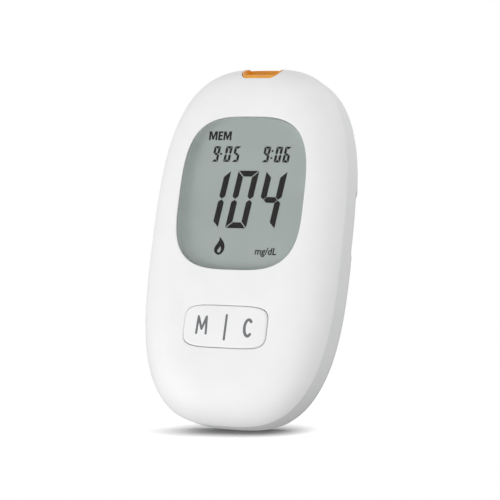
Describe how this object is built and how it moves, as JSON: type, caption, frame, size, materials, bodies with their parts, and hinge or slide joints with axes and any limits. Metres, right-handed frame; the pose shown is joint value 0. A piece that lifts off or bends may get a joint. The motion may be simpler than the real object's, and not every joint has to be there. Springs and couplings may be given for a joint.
{
  "type": "blood glucose meter",
  "caption": "Handheld glucose meter: white egg-shaped two-part housing, rounded display window, rocking key, orange test strip port in the top end, sliding battery door in the back.",
  "frame": {"origin": "centre of the flat back, on the surface that the meter lies on", "axes": "+X to the right of the face, +Y along the meter towards the strip port, +Z out of the face"},
  "size_m": [0.055, 0.096, 0.0173],
  "materials": {
    "shell_white": "fine satin moulded",
    "shell_rear": "fine satin moulded",
    "lens_clear": "clear polished",
    "tape_grey": "matt",
    "display_glass": "matt polariser",
    "reflector_film": "satin",
    "holder_white": "moulded",
    "zebra_rubber": "matt layered",
    "board_green": "solder mask",
    "key_white": "fine satin moulded",
    "key_rubber": "matt",
    "port_orange": "satin moulded",
    "moulded_black": "moulded",
    "contact_gold": "plated",
    "chip_black": "moulded",
    "chip_tan": "fired",
    "can_steel": "plated"
  },
  "bodies": {
    "housing": {"front_cover": "shell_white", "rear_cover": "shell_rear", "display_lens": "lens_clear", "lens_tape": "tape_grey", "lcd_front_glass": "display_glass", "lcd_rear_glass": "display_glass", "lcd_reflector": "reflector_film", "lcd_holder": "holder_white", "zebra_strip": "zebra_rubber", "circuit_board": "board_green", "key_mat": "key_rubber", "strip_port": "port_orange", "strip_connector": "moulded_black", "strip_contacts": "contact_gold", "microcontroller": "chip_black", "memory_chip": "chip_black", "crystal": "can_steel", "buzzer": "moulded_black", "chip_parts": "chip_tan", "coin_cell": "can_steel", "cell_contact_plus": "contact_gold", "cell_contact_minus": "contact_gold", "case_screws": "can_steel"},
    "key": {"key_cap": "key_white"},
    "door": {"battery_door": "shell_rear"}
  },
  "joints": [
    {"name": "key_tilt", "type": "hinge", "parent": "housing", "child": "key", "pos_m": [0, -0.0229, 0.0142], "axis": [0, 1, 0], "range_deg": [-2.5, 2.5], "stiffness_Nm_per_rad": 0.1},
    {"name": "door_slide", "type": "slide", "parent": "housing", "child": "door", "axis": [0, -1, 0], "range_m": [0, 0.04]}
  ]
}
